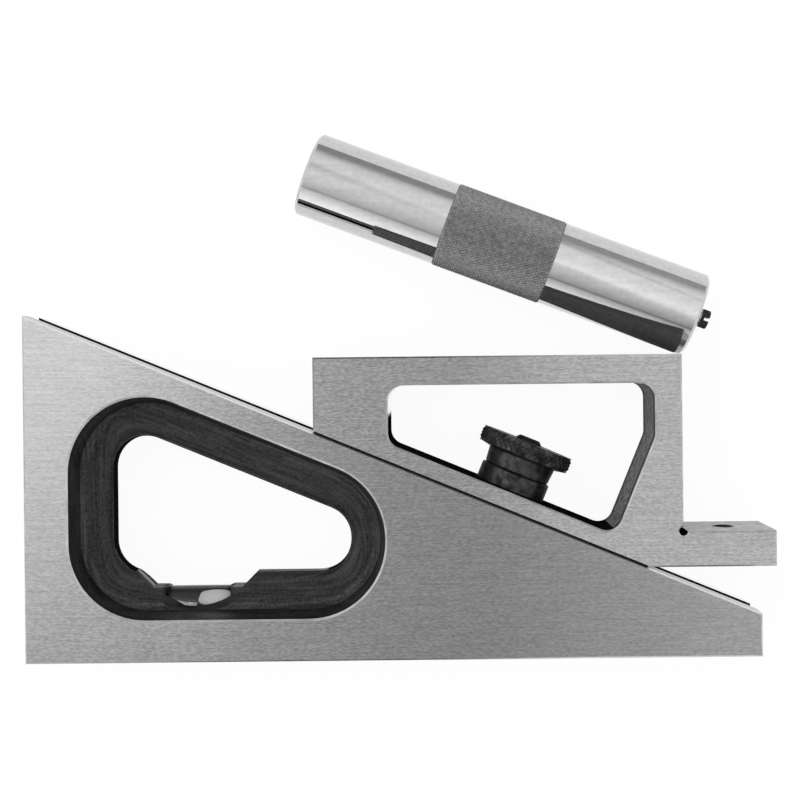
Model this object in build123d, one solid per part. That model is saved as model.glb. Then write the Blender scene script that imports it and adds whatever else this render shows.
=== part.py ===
from build123d import *
import os
from math import cos, radians, sin, tan

# Planer and shaper gauge, laid down on one ground side, with its extension beside it.
# Millimetres. In the drawing frame X runs along the sole from the heel to the nose,
# Y is the gauging height above the sole, and Z is the thickness, with the side that it
# lies on at Z = 0. At the end all pieces move together, so that the origin is on that
# side, under the middle of the whole set.

# Stock and finish
THICKNESS = 19.05
EDGE_BREAK = 0.3

# Base: a cast wedge, ground all round
BASE_LENGTH = 131.8
HEEL_HEIGHT = 62.3
INCLINE_DEG = 22.5

# Lightening recess, sunk from both sides, with its top side parallel to the incline
RECESS_LEFT = 7.8
RECESS_BOTTOM = 7.5
RECESS_RIGHT = 64.6
RECESS_UNDER_INCLINE = 4.3
RECESS_CORNER_R = 13.8
RECESS_DRAFT_DEG = 12.0
RECESS_FOOT_CHAMFER = 0.9
WEB_THICKNESS = 6.35

# Opening through the web, set in from each side of the recess
RIM_LEFT = 7.0
RIM_BOTTOM = 7.8
RIM_RIGHT = 6.6
RIM_TOP = 7.7
WEB_CORNER_R = 5.8
WEB_ROUNDING_R = 1.9

# Sight notch in the lower bar, with sides at 45 degrees, and the level in it
NOTCH_CENTRE = 29.9
NOTCH_FLOOR_WIDTH = 16.5
NOTCH_FLOOR_HEIGHT = 12.65
SEAT_LENGTH = 12.9
SEAT_MID_WIDTH = 8.6
SEAT_END_WIDTH = 6.4
SEAT_DEPTH = 6.7
VIAL_DIAMETER = 6.2
VIAL_END_CHAMFER = 0.8
VIAL_SIDE_CLEARANCE = 0.05
VIAL_BED_HEIGHT = 3.9

# T-slot along the whole incline
SLOT_WIDTH = 6.35
SLOT_LIP = 1.9
SLOT_CAVITY_WIDTH = 9.0
SLOT_CAVITY_HEIGHT = 2.3

# Slide: its lower left corner stands this far down the incline from the heel
SETTING = 56.07
SLIDE_WIDTH = 66.05
SLIDE_HEIGHT = 38.1
SLIDE_LEFT_HEIGHT = 13.4
SLIDE_LIFT = 0.02
LEDGE_LENGTH = 16.65
LEDGE_THICKNESS = 6.35
RELIEF_DIAMETER = 1.6
TONGUE_SIDE_CLEARANCE = 0.04
TONGUE_DEPTH = 1.5
TONGUE_END_SETBACK = 1.5
LEDGE_HOLE_DIAMETER = 2.95
LEDGE_HOLE_COUNTERSINK = 0.3

# Window through the slide
SLIDE_WALL_LEFT = 13.4
SLIDE_WALL_TOP = 5.15
SLIDE_WALL_RIGHT = 4.9
SLIDE_FLOOR = 3.2
SLIDE_WINDOW_UPRIGHT = 9.57
SLIDE_WINDOW_CORNER_R = 2.8

# Clamp: T-bolt, washer and thumb nut, square to the incline
CLAMP_FROM_SLIDE_CORNER = 36.9
BOLT_DIAMETER = 4.83
BOLT_HOLE_CLEARANCE = 0.2
BOLT_HEAD_LENGTH = 8.6
BOLT_HEAD_THICKNESS = 1.4
BOLT_HEAD_SIDE_CLEARANCE = 0.2
BOLT_LIP_CLEARANCE = 0.02
BOLT_PROUD = 0.8
BOLT_END_CHAMFER = 0.5
WASHER_DIAMETER = 13.0
WASHER_HEIGHT = 3.3
WASHER_CHAMFER = 0.2
NUT_RUNNING_CLEARANCE = 0.02
NUT_NECK_DIAMETER = 12.7
NUT_FOOT_DIAMETER = 12.2
NUT_NECK_HEIGHT = 2.9
NUT_CONE_HEIGHT = 0.44
NUT_DISC_DIAMETER = 17.0
NUT_DISC_HEIGHT = 2.7
NUT_DISC_CHAMFER = 0.25

# Extension: it lies on its knurled band, with one end just past the slide's corner
EXTENSION_LENGTH = 76.2
EXTENSION_DIAMETER = 15.6
EXTENSION_CHAMFER = 0.5
KNURL_HEIGHT = 0.15
KNURL_START = 27.1
KNURL_LENGTH = 20.9
EXTENSION_LEAN_DEG = 20.8
EXTENSION_GAP = 0.25
EXTENSION_OVERHANG = 1.2
STUD_DIAMETER = 3.5
STUD_FIT = 0.01
STUD_DEPTH = 6.0
STUD_PROUD = 1.8
STUD_CHAMFER = 0.35
STUD_SLOT_WIDTH = 0.6
STUD_SLOT_DEPTH = 0.8

# Small overrun that takes a cut clear of the face it leaves
OVERRUN = 1.0
# How near to a plane or box an edge has to lie to count as on it
NEAR = 0.001
# The most of a short side that its two corner fillets may take up
FILLET_SHARE = 0.99

INCLINE = radians(INCLINE_DEG)
MID_PLANE = THICKNESS / 2
RECESS_DEPTH = (THICKNESS - WEB_THICKNESS) / 2


def on_incline(along, above):
    """Point of the drawing plane, by its distance down the incline and its height over it."""
    x = along * cos(INCLINE) + above * sin(INCLINE)
    y = HEEL_HEIGHT - along * sin(INCLINE) + above * cos(INCLINE)
    return x, y


def incline_plane(along, above):
    """Work plane at mid thickness: X runs down the incline, Z stands square to it."""
    x, y = on_incline(along, above)
    down = (cos(INCLINE), -sin(INCLINE), 0)
    out = (sin(INCLINE), cos(INCLINE), 0)
    return Plane(origin=(x, y, MID_PLANE), x_dir=down, z_dir=out)


def plate(outline):
    return extrude(outline, amount=THICKNESS)


def broken_edges(solid):
    """The edges of both ground sides, taken off by hand with a stone."""
    sides = solid.edges().filter_by_position(Axis.Z, -NEAR, NEAR)
    sides += solid.edges().filter_by_position(Axis.Z, THICKNESS - NEAR, THICKNESS + NEAR)
    return chamfer(sides, EDGE_BREAK)


def wedge_hole(left, bottom, right, under_incline, corner_r):
    """Four-sided hole with round corners, whose top side is parallel to the incline."""
    drop = under_incline / cos(INCLINE)
    top_left = HEEL_HEIGHT - left * tan(INCLINE) - drop
    top_right = HEEL_HEIGHT - right * tan(INCLINE) - drop
    corners = [(left, bottom), (right, bottom), (right, top_right), (left, top_left)]
    # Both corners of the short right side have to fit on it.
    room = (top_right - bottom) / (1 + tan(radians(45) - INCLINE / 2))
    face = make_face(Polyline(*corners, close=True))
    return fillet(face.vertices(), min(corner_r, FILLET_SHARE * room))


def recess_outline():
    return wedge_hole(RECESS_LEFT, RECESS_BOTTOM, RECESS_RIGHT, RECESS_UNDER_INCLINE, RECESS_CORNER_R)


def cut_recesses(solid):
    """Takes the drafted recess out of both sides of a solid, as the casting's pattern did."""
    recess = extrude(recess_outline(), amount=RECESS_DEPTH, taper=RECESS_DRAFT_DEG)
    recess = chamfer(recess.edges().group_by(Axis.Z)[-1], RECESS_FOOT_CHAMFER)
    return solid - recess - mirror(recess, Plane.XY.offset(MID_PLANE))


def web_outline():
    return wedge_hole(
        RECESS_LEFT + RIM_LEFT,
        RECESS_BOTTOM + RIM_BOTTOM,
        RECESS_RIGHT - RIM_RIGHT,
        RECESS_UNDER_INCLINE + RIM_TOP,
        WEB_CORNER_R,
    )


def web_edges(solid):
    """The sharp edges that the opening leaves on both faces of the web."""
    box = web_outline().bounding_box()

    def on_opening(edge):
        centre = edge.center()
        inside_x = box.min.X - NEAR < centre.X < box.max.X + NEAR
        inside_y = box.min.Y - NEAR < centre.Y < box.max.Y + NEAR
        return inside_x and inside_y

    near = solid.edges().filter_by_position(Axis.Z, RECESS_DEPTH - NEAR, RECESS_DEPTH + NEAR)
    far_z = THICKNESS - RECESS_DEPTH
    far = solid.edges().filter_by_position(Axis.Z, far_z - NEAR, far_z + NEAR)
    return (near + far).filter_by(on_opening)


def seat_outline():
    """Plan of the level's seat, looking down on the sole: barrel-shaped, with square ends."""
    half_length = SEAT_LENGTH / 2
    half_mid = SEAT_MID_WIDTH / 2
    half_end = SEAT_END_WIDTH / 2
    front = ThreePointArc((-half_length, half_end), (0, half_mid), (half_length, half_end))
    right = Line((half_length, half_end), (half_length, -half_end))
    back = ThreePointArc((half_length, -half_end), (0, -half_mid), (-half_length, -half_end))
    left = Line((-half_length, -half_end), (-half_length, half_end))
    return make_face(front + right + back + left)


def seat_plane():
    floor = NOTCH_FLOOR_HEIGHT - SEAT_DEPTH
    return Plane(origin=(NOTCH_CENTRE, floor, MID_PLANE), x_dir=(1, 0, 0), z_dir=(0, 1, 0))


def notch_cut():
    rise = RECESS_BOTTOM + RIM_BOTTOM - NOTCH_FLOOR_HEIGHT + OVERRUN
    left = NOTCH_CENTRE - NOTCH_FLOOR_WIDTH / 2
    right = NOTCH_CENTRE + NOTCH_FLOOR_WIDTH / 2
    top = NOTCH_FLOOR_HEIGHT + rise
    floor = NOTCH_FLOOR_HEIGHT
    corners = [(left, floor), (right, floor), (right + rise, top), (left - rise, top)]
    return plate(make_face(Polyline(*corners, close=True)))


def t_slot():
    """Neck and cavity of the slot, longer than the incline at both ends."""
    length = BASE_LENGTH / cos(INCLINE) + 2 * THICKNESS
    plane = incline_plane(length / 2 - THICKNESS, 0)
    neck_height = SLOT_LIP + OVERRUN
    neck = Pos(0, 0, OVERRUN - neck_height / 2) * Box(length, SLOT_WIDTH, neck_height)
    cavity_z = -SLOT_LIP - SLOT_CAVITY_HEIGHT / 2
    cavity = Pos(0, 0, cavity_z) * Box(length, SLOT_CAVITY_WIDTH, SLOT_CAVITY_HEIGHT)
    return plane * (neck + cavity)


def make_base_frame():
    nose = HEEL_HEIGHT - BASE_LENGTH * tan(INCLINE)
    corners = [(0, 0), (BASE_LENGTH, 0), (BASE_LENGTH, nose), (0, HEEL_HEIGHT)]
    frame = cut_recesses(plate(make_face(Polyline(*corners, close=True))))
    frame -= plate(web_outline())
    frame = fillet(web_edges(frame), WEB_ROUNDING_R)
    frame = broken_edges(frame)
    frame -= t_slot()
    frame -= notch_cut()
    frame -= seat_plane() * extrude(seat_outline(), amount=SEAT_DEPTH + OVERRUN)
    return frame


def vial_body(radius, length):
    """Round bar along the level's axis, with the glass just level with the notch's floor."""
    height = NOTCH_FLOOR_HEIGHT - VIAL_DIAMETER / 2
    axis = Plane(origin=(NOTCH_CENTRE, height, MID_PLANE), z_dir=(1, 0, 0))
    return axis * Cylinder(radius, length)


def make_level_vial():
    length = SEAT_LENGTH - 2 * VIAL_SIDE_CLEARANCE
    vial = vial_body(VIAL_DIAMETER / 2, length)
    ends = vial.edges().filter_by(GeomType.CIRCLE)
    return chamfer(ends, VIAL_END_CHAMFER)


def make_vial_bed():
    """The plaster that the glass is set in, level with the recess where the seat breaks out."""
    bed = seat_plane() * extrude(seat_outline(), amount=VIAL_BED_HEIGHT)
    bed = cut_recesses(bed)
    bed -= vial_body(VIAL_DIAMETER / 2, SEAT_LENGTH + OVERRUN)
    return bed


def slide_corner():
    """Lower left corner of the slide, where its sloping underside starts."""
    return on_incline(SETTING, SLIDE_LIFT)


def slide_top():
    return slide_corner()[1] + SLIDE_LEFT_HEIGHT


def slide_right():
    return slide_corner()[0] + SLIDE_WIDTH


def slide_outline():
    left, corner_y = slide_corner()
    top = slide_top()
    under = top - SLIDE_HEIGHT
    ledge_top = under + LEDGE_THICKNESS
    ledge_end = slide_right() + LEDGE_LENGTH
    slope_end = left + (corner_y - under) / tan(INCLINE)
    corners = [
        (left, corner_y),
        (slope_end, under),
        (ledge_end, under),
        (ledge_end, ledge_top),
        (slide_right(), ledge_top),
        (slide_right(), top),
        (left, top),
    ]
    return make_face(Polyline(*corners, close=True))


def slide_window():
    left = slide_corner()[0] + SLIDE_WALL_LEFT
    right = slide_right() - SLIDE_WALL_RIGHT
    top = slide_top() - SLIDE_WALL_TOP
    floor_start = HEEL_HEIGHT - left * tan(INCLINE) + SLIDE_FLOOR / cos(INCLINE)
    bend_y = top - SLIDE_WINDOW_UPRIGHT
    # Below the bend the right side runs square to the incline, down to the slide's floor.
    along = right * cos(INCLINE) + (HEEL_HEIGHT - bend_y) * sin(INCLINE)
    square_x, square_y = on_incline(along, SLIDE_FLOOR)
    corners = [(left, floor_start), (square_x, square_y), (right, bend_y), (right, top), (left, top)]
    face = make_face(Polyline(*corners, close=True))
    return fillet(face.vertices(), SLIDE_WINDOW_CORNER_R)


def slope_length():
    """Length of the slide's sloping underside."""
    drop = slide_corner()[1] - (slide_top() - SLIDE_HEIGHT)
    return drop / sin(INCLINE)


def tongue():
    length = slope_length() - 2 * TONGUE_END_SETBACK
    width = SLOT_WIDTH - 2 * TONGUE_SIDE_CLEARANCE
    height = TONGUE_DEPTH + SLIDE_FLOOR / 2
    plane = incline_plane(SETTING + slope_length() / 2, SLIDE_LIFT)
    return plane * Pos(0, 0, height / 2 - TONGUE_DEPTH) * Box(length, width, height)


def ledge_hole():
    under = slide_top() - SLIDE_HEIGHT
    x = slide_right() + LEDGE_LENGTH / 2
    radius = LEDGE_HOLE_DIAMETER / 2
    mouth = radius + LEDGE_HOLE_COUNTERSINK
    half = LEDGE_THICKNESS / 2
    # Half section of the hole, turned about its axis; the mouths are countersunk.
    section = [
        (0, -half - OVERRUN),
        (mouth, -half - OVERRUN),
        (mouth, -half),
        (radius, -half + LEDGE_HOLE_COUNTERSINK),
        (radius, half - LEDGE_HOLE_COUNTERSINK),
        (mouth, half),
        (mouth, half + OVERRUN),
        (0, half + OVERRUN),
    ]
    face = make_face(Polyline(*section, close=True))
    return Pos(x, under + half, MID_PLANE) * revolve(face, Axis.Y)


def make_slide_block():
    block = plate(slide_outline()) - plate(slide_window())
    relief = Pos(slide_right(), slide_top() - SLIDE_HEIGHT + LEDGE_THICKNESS, MID_PLANE)
    block -= relief * Cylinder(RELIEF_DIAMETER / 2, THICKNESS)
    block = broken_edges(block)
    block += tongue()
    block -= ledge_hole()
    hole = Cylinder(BOLT_DIAMETER / 2 + BOLT_HOLE_CLEARANCE, 2 * SLIDE_FLOOR + 2 * TONGUE_DEPTH)
    block -= incline_plane(clamp_along(), 0) * hole
    return block


def clamp_along():
    return SETTING + CLAMP_FROM_SLIDE_CORNER


def ring(height, radius, bore_r):
    align = (Align.CENTER, Align.CENTER, Align.MIN)
    return Cylinder(radius, height, align=align) - Cylinder(bore_r, height, align=align)


def make_clamp_washer():
    washer = ring(WASHER_HEIGHT, WASHER_DIAMETER / 2, BOLT_DIAMETER / 2 + BOLT_HOLE_CLEARANCE)
    rims = washer.edges().filter_by(GeomType.CIRCLE).sort_by(SortBy.RADIUS)[-2:]
    washer = chamfer(rims, WASHER_CHAMFER)
    return incline_plane(clamp_along(), SLIDE_FLOOR) * washer


def nut_foot():
    """Height of the nut's lower face above the incline."""
    return SLIDE_FLOOR + WASHER_HEIGHT + NUT_RUNNING_CLEARANCE


def nut_height():
    return NUT_NECK_HEIGHT + NUT_CONE_HEIGHT + NUT_DISC_HEIGHT


def make_thumb_nut():
    bore = BOLT_DIAMETER / 2 + NUT_RUNNING_CLEARANCE
    foot = NUT_FOOT_DIAMETER / 2
    neck = NUT_NECK_DIAMETER / 2
    rim = NUT_DISC_DIAMETER / 2
    disc_foot = NUT_NECK_HEIGHT + NUT_CONE_HEIGHT
    section = [
        (bore, 0),
        (foot - NUT_DISC_CHAMFER, 0),
        (foot, NUT_DISC_CHAMFER),
        (neck, NUT_NECK_HEIGHT),
        (rim, disc_foot),
        (rim, nut_height() - NUT_DISC_CHAMFER),
        (rim - NUT_DISC_CHAMFER, nut_height()),
        (bore + NUT_DISC_CHAMFER, nut_height()),
        (bore, nut_height() - NUT_DISC_CHAMFER),
    ]
    face = Plane.XZ * make_face(Polyline(*section, close=True))
    return incline_plane(clamp_along(), nut_foot()) * revolve(face, Axis.Z)


def make_clamp_bolt():
    head_top = -SLOT_LIP - BOLT_LIP_CLEARANCE
    end = nut_foot() + nut_height() + BOLT_PROUD
    head_width = SLOT_CAVITY_WIDTH - 2 * BOLT_HEAD_SIDE_CLEARANCE
    head = Box(BOLT_HEAD_LENGTH, head_width, BOLT_HEAD_THICKNESS)
    head = Pos(0, 0, head_top - BOLT_HEAD_THICKNESS / 2) * head
    align = (Align.CENTER, Align.CENTER, Align.MIN)
    shank = Cylinder(BOLT_DIAMETER / 2, end - head_top, align=align)
    shank = chamfer(shank.edges().sort_by(Axis.Z)[-1:], BOLT_END_CHAMFER)
    return incline_plane(clamp_along(), 0) * (head + Pos(0, 0, head_top) * shank)


def knurl_radius():
    return EXTENSION_DIAMETER / 2 + KNURL_HEIGHT


def extension_plane():
    """Work plane at the right end face: Z runs back along the axis to the left end."""
    lean = radians(EXTENSION_LEAN_DEG)
    along = (cos(lean), -sin(lean))
    across = (sin(lean), cos(lean))
    off_axis = EXTENSION_DIAMETER / 2 + EXTENSION_GAP
    x = slide_right() + EXTENSION_OVERHANG * along[0] + off_axis * across[0]
    y = slide_top() + EXTENSION_OVERHANG * along[1] + off_axis * across[1]
    back = (-along[0], -along[1], 0)
    return Plane(origin=(x, y, knurl_radius()), x_dir=(0, 0, 1), z_dir=back)


def make_extension_rod():
    body = EXTENSION_DIAMETER / 2
    band = knurl_radius()
    hole = STUD_DIAMETER / 2 + STUD_FIT
    band_end = EXTENSION_LENGTH - KNURL_START
    band_start = band_end - KNURL_LENGTH
    section = [
        (hole, 0),
        (body - EXTENSION_CHAMFER, 0),
        (body, EXTENSION_CHAMFER),
        (body, band_start),
        (band, band_start + KNURL_HEIGHT),
        (band, band_end - KNURL_HEIGHT),
        (body, band_end),
        (body, EXTENSION_LENGTH - EXTENSION_CHAMFER),
        (body - EXTENSION_CHAMFER, EXTENSION_LENGTH),
        (0, EXTENSION_LENGTH),
        (0, STUD_DEPTH),
        (hole, STUD_DEPTH),
    ]
    face = Plane.XZ * make_face(Polyline(*section, close=True))
    return extension_plane() * revolve(face, Axis.Z)


def make_extension_stud():
    radius = STUD_DIAMETER / 2
    tip = -STUD_PROUD
    section = [
        (0, tip),
        (radius - STUD_CHAMFER, tip),
        (radius, tip + STUD_CHAMFER),
        (radius, STUD_DEPTH),
        (0, STUD_DEPTH),
    ]
    stud = revolve(Plane.XZ * make_face(Polyline(*section, close=True)), Axis.Z)
    slot = Box(STUD_SLOT_WIDTH, STUD_DIAMETER + OVERRUN, 2 * STUD_SLOT_DEPTH)
    stud -= Pos(0, 0, tip) * slot
    return extension_plane() * stud


def main():
    pieces = {
        "base_frame": make_base_frame(),
        "slide_block": make_slide_block(),
        "level_vial": make_level_vial(),
        "vial_bed": make_vial_bed(),
        "clamp_bolt": make_clamp_bolt(),
        "clamp_washer": make_clamp_washer(),
        "thumb_nut": make_thumb_nut(),
        "extension_rod": make_extension_rod(),
        "extension_stud": make_extension_stud(),
    }
    whole = Compound(list(pieces.values())).bounding_box()
    centre = whole.center()
    to_origin = Pos(-centre.X, -centre.Y, -whole.min.Z)
    os.makedirs("parts", exist_ok=True)
    for name, piece in pieces.items():
        export_step(to_origin * piece, f"parts/{name}.step")
    print("heel corner of the sole at", round(-centre.X, 4), round(-centre.Y, 4))


main()
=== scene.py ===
from math import atan2, cos, pi, radians, sin

import bpy
from mathutils import Matrix, Vector


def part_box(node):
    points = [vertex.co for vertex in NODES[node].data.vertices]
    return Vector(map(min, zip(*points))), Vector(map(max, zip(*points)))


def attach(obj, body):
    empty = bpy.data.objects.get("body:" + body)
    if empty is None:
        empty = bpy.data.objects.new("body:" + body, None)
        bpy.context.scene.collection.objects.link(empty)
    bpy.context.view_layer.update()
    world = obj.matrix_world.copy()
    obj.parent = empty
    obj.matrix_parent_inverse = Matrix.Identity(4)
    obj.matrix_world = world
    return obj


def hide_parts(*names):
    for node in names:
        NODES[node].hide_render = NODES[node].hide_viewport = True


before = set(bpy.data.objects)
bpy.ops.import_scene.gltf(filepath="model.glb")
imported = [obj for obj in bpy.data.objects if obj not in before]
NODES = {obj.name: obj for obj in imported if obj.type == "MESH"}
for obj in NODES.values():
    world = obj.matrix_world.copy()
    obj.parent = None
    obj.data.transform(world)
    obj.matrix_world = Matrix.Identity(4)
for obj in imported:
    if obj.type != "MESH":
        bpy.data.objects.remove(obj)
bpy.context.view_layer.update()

# Planer and shaper gauge, laid on its side with its extension beside it. All lengths are
# in metres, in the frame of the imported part: X along the sole towards the nose, Y the
# gauging height, Z up from the surface that the set lies on.

MM = 0.001
INCLINE = radians(22.5)
ROD_LEAN = radians(20.8)
LEDGE_LENGTH = 16.65 * MM
DOWN_INCLINE = Vector((cos(INCLINE), -sin(INCLINE), 0))
OUT_OF_INCLINE = Vector((sin(INCLINE), cos(INCLINE), 0))

base_low, base_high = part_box("base_frame")
slide_low, slide_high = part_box("slide_block")
THICKNESS = base_high.z - base_low.z
HEEL_TOP = Vector((base_low.x, base_high.y, 0))
INCLINE_LEVEL = HEEL_TOP.dot(OUT_OF_INCLINE)


def on_incline(along, above, height=THICKNESS / 2):
    """Point at a distance down the incline, a height over it and a height off the floor."""
    point = HEEL_TOP + DOWN_INCLINE * along + OUT_OF_INCLINE * above
    return Vector((point.x, point.y, height))


# Materials: helpers

def linear(hex_colour):
    """Linear RGBA of an sRGB hex colour."""
    channels = [int(hex_colour[i:i + 2], 16) / 255 for i in (1, 3, 5)]
    return [c / 12.92 if c <= 0.04045 else ((c + 0.055) / 1.055) ** 2.4 for c in channels] + [1.0]


def add_node(tree, kind, settings=None, inputs=None):
    """Adds a node; inputs maps a socket to a value, or to the output socket that feeds it."""
    node = tree.nodes.new(kind)
    for name, value in (settings or {}).items():
        setattr(node, name, value)
    for socket, value in (inputs or {}).items():
        if isinstance(value, bpy.types.NodeSocket):
            tree.links.new(value, node.inputs[socket])
        else:
            node.inputs[socket].default_value = value
    return node


def set_stops(ramp_node, stops):
    """Sets a colour ramp's stops, each a place from 0 to 1 and a grey level."""
    elements = ramp_node.color_ramp.elements
    while len(elements) < len(stops):
        elements.new(0.5)
    for element, (place, level) in zip(elements, stops):
        element.position = place
        element.color = (level, level, level, 1)


def new_material(name):
    material = bpy.data.materials.new(name)
    material.use_nodes = True
    material.node_tree.nodes.clear()
    return material, material.node_tree


def finish_material(tree, shader_inputs):
    shader = add_node(tree, "ShaderNodeBsdfPrincipled", inputs=shader_inputs)
    output = add_node(tree, "ShaderNodeOutputMaterial")
    tree.links.new(shader.outputs["BSDF"], output.inputs["Surface"])


def object_coordinates(tree, scale=(1, 1, 1), turn=(0, 0, 0)):
    coordinates = add_node(tree, "ShaderNodeTexCoord").outputs["Object"]
    mapping = add_node(tree, "ShaderNodeMapping", inputs={
        "Vector": coordinates, "Scale": scale, "Rotation": turn})
    return mapping.outputs["Vector"]


def part_of(tree, vector, axis):
    return add_node(tree, "ShaderNodeSeparateXYZ", inputs={"Vector": vector}).outputs[axis]


def vector_math(tree, operation, first, second, output="Vector"):
    node = add_node(tree, "ShaderNodeVectorMath", {"operation": operation}, {0: first, 1: second})
    return node.outputs[output]


def noise(tree, vector, scale, detail=2.0, roughness=0.5, distortion=0.0):
    node = add_node(tree, "ShaderNodeTexNoise", inputs={
        "Vector": vector, "Scale": scale, "Detail": detail, "Roughness": roughness,
        "Distortion": distortion})
    return node.outputs["Fac"]


def spread(tree, value, low, high, to_low, to_high):
    """Maps a value's range onto another, and holds it there."""
    node = add_node(tree, "ShaderNodeMapRange", {"clamp": True}, {
        "Value": value, "From Min": low, "From Max": high, "To Min": to_low, "To Max": to_high})
    return node.outputs["Result"]


def mix_colours(tree, factor, first, second, blend="MIX"):
    """Mixes two colours; the numbers are the colour mix's own sockets."""
    node = add_node(tree, "ShaderNodeMix", {"data_type": "RGBA", "blend_type": blend}, {
        0: factor, 6: first, 7: second})
    return node.outputs[2]


def shade_mix(tree, factor, dark, light):
    return mix_colours(tree, factor, linear(dark), linear(light))


def combine(tree, operation, first, second):
    node = add_node(tree, "ShaderNodeMath", {"operation": operation}, {0: first, 1: second})
    return node.outputs[0]


def weigh(tree, *patterns):
    """Sum of patterns, each with its weight."""
    total = None
    for pattern, weight in patterns:
        weighed = combine(tree, "MULTIPLY", pattern, weight)
        total = weighed if total is None else combine(tree, "ADD", total, weighed)
    return total


def from_middle_plane(tree):
    """Distance of a point from the plane half way through the thickness."""
    z = part_of(tree, object_coordinates(tree), "Z")
    return combine(tree, "ABSOLUTE", combine(tree, "SUBTRACT", z, THICKNESS / 2), 0.0)


def within(tree, place, start, end, fade):
    """1 between two places, and 0 beyond them."""
    return combine(tree, "MULTIPLY", spread(tree, place, start - fade, start + fade, 0, 1),
                   spread(tree, place, end - fade, end + fade, 1, 0))


def bump(tree, height, distance, strength=1.0):
    node = add_node(tree, "ShaderNodeBump", inputs={
        "Height": height, "Distance": distance, "Strength": strength})
    return node.outputs["Normal"]


# Materials of the gauge

# Marks of the grinding wheel: its feed leaves lines this far apart and this long, and its
# grit a fine mottle between them, drawn a little coarser than it is.
FEED_WIDTH = 0.5 * MM
FEED_LENGTH = 16 * MM
FEED_DEPTH = 0.001 * MM
GRIT_LENGTH = 0.8 * MM
GRIT_WIDTH = 0.26 * MM


# Painted light and shade: the ground faces' colour is made lighter and darker along X, darker
# near the clamp. Each stop is a place along X, in mm from the middle of the set, and how light
# the metal is painted there.
PAINTED_LIGHT_REACH = 66
LIGHTEST_PAINTED_LIGHT = 1.2
BASE_PAINTED_LIGHT = [(-66, 1.05), (-54, 1.13), (-40, 1.18), (-27, 1.08), (-18, 1.04), (0, 0.93),
              (16, 0.87), (28, 0.92), (50, 1.04), (62, 1.14)]
SLIDE_PAINTED_LIGHT = [(-16, 0.84), (10, 0.81), (21, 0.93), (30, 1.07), (40, 1.08), (62, 1.06)]


def painted_light_level(tree, stops):
    """Grey level of the painted light and shade at a place along X."""
    x = part_of(tree, object_coordinates(tree), "X")
    fraction = spread(tree, x, -PAINTED_LIGHT_REACH * MM, PAINTED_LIGHT_REACH * MM, 0, 1)
    shade = add_node(tree, "ShaderNodeValToRGB", inputs={"Fac": fraction})
    set_stops(shade, [((place + PAINTED_LIGHT_REACH) / (2 * PAINTED_LIGHT_REACH), level / LIGHTEST_PAINTED_LIGHT)
                      for place, level in stops])
    return shade.outputs["Color"]


def ground_metal(name, dark, light, roughness, painted_light):
    """Surface-ground metal: a soft grey sheen, finely mottled, with faint lines and painted light
    along X.
    """
    material, tree = new_material(name)
    feed = object_coordinates(tree, (1 / FEED_LENGTH, 1 / FEED_WIDTH, 1 / FEED_WIDTH))
    lines = noise(tree, feed, 1.6, detail=1.0, roughness=0.4)
    grit = object_coordinates(tree, (1 / GRIT_LENGTH, 1 / GRIT_WIDTH, 1 / GRIT_WIDTH))
    mottle = noise(tree, grit, 1.0, detail=2.0, roughness=0.6)
    tone = weigh(tree, (mottle, 0.72), (lines, 0.28))
    unshaded = shade_mix(tree, spread(tree, tone, 0.32, 0.68, 0, 1), dark, light)
    # Painted light and shade: the colour is multiplied by a level that changes along X.
    with_painted_light = mix_colours(tree, 1.0, unshaded, painted_light_level(tree, painted_light), "MULTIPLY")
    finish_material(tree, {
        "Base Color": with_painted_light,
        "Metallic": 1.0,
        "Roughness": spread(tree, mottle, 0.3, 0.7, roughness - 0.03, roughness + 0.04),
        "Normal": bump(tree, lines, FEED_DEPTH),
    })
    return material


def edge_wear(tree):
    """Slow change of tone along an edge, from 0 to 1."""
    wear = noise(tree, object_coordinates(tree), 1 / (2.5 * MM), detail=2.0)
    return spread(tree, wear, 0.3, 0.7, 0, 1)


def bare_metal_edge():
    """The narrow outer edges: bare metal that mirrors what lies beside it."""
    material, tree = new_material("bare_metal_edge")
    finish_material(tree, {
        "Base Color": shade_mix(tree, edge_wear(tree), "#a6a6a6", "#c4c4c4"),
        "Metallic": 1.0,
        "Roughness": 0.25,
    })
    return material


# Where the slide mostly stands on the incline, from its left side to the foot of its ledge.
STAND_START = slide_low.x
STAND_END = slide_high.x - 23 * MM
STAND_FADE = 0.3 * MM


def incline_edge():
    """The incline's broken edges: near white and mostly diffuse in the open, a painted highlight,
    and darker mirror-bright metal, a painted shade of the seam, along the stretch where the slide
    mostly stands."""
    material, tree = new_material("iron_edge_painted_highlight")
    x = part_of(tree, object_coordinates(tree), "X")
    # Painted shade of the seam along the stretch where the slide mostly stands.
    shade_darkened = within(tree, x, STAND_START, STAND_END, STAND_FADE)
    finish_material(tree, {
        "Base Color": shade_mix(tree, shade_darkened, "#d0d0d0", "#a0a0a0"),
        "Metallic": spread(tree, shade_darkened, 0, 1, 0.1, 1),
        "Roughness": 0.35,
    })
    return material


def stoned_edge():
    """Edges broken by hand with a stone: narrow, bright and smoother than the faces."""
    material, tree = new_material("stoned_steel_edge")
    finish_material(tree, {
        "Base Color": shade_mix(tree, edge_wear(tree), "#969696", "#bababa"),
        "Metallic": 0.55,
        "Roughness": 0.3,
    })
    return material


def dark_edge():
    """Outer edges painted dark, a painted reflection of the studio's dark sides, less dark towards
    both ends.
    """
    material, tree = new_material("steel_edge_painted_dark_reflection")
    x = part_of(tree, object_coordinates(tree), "X")
    unshaded = combine(tree, "MAXIMUM", spread(tree, x, 8 * MM, 34 * MM, 0, 0.8),
                    spread(tree, x, -30 * MM, -62 * MM, 0, 0.5))
    worn = combine(tree, "MULTIPLY", edge_wear(tree), 0.2)
    finish_material(tree, {
        "Base Color": shade_mix(tree, combine(tree, "ADD", worn, unshaded), "#484848", "#c8c8c8"),
        "Metallic": 0.6,
        "Roughness": 0.4,
    })
    return material


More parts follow.
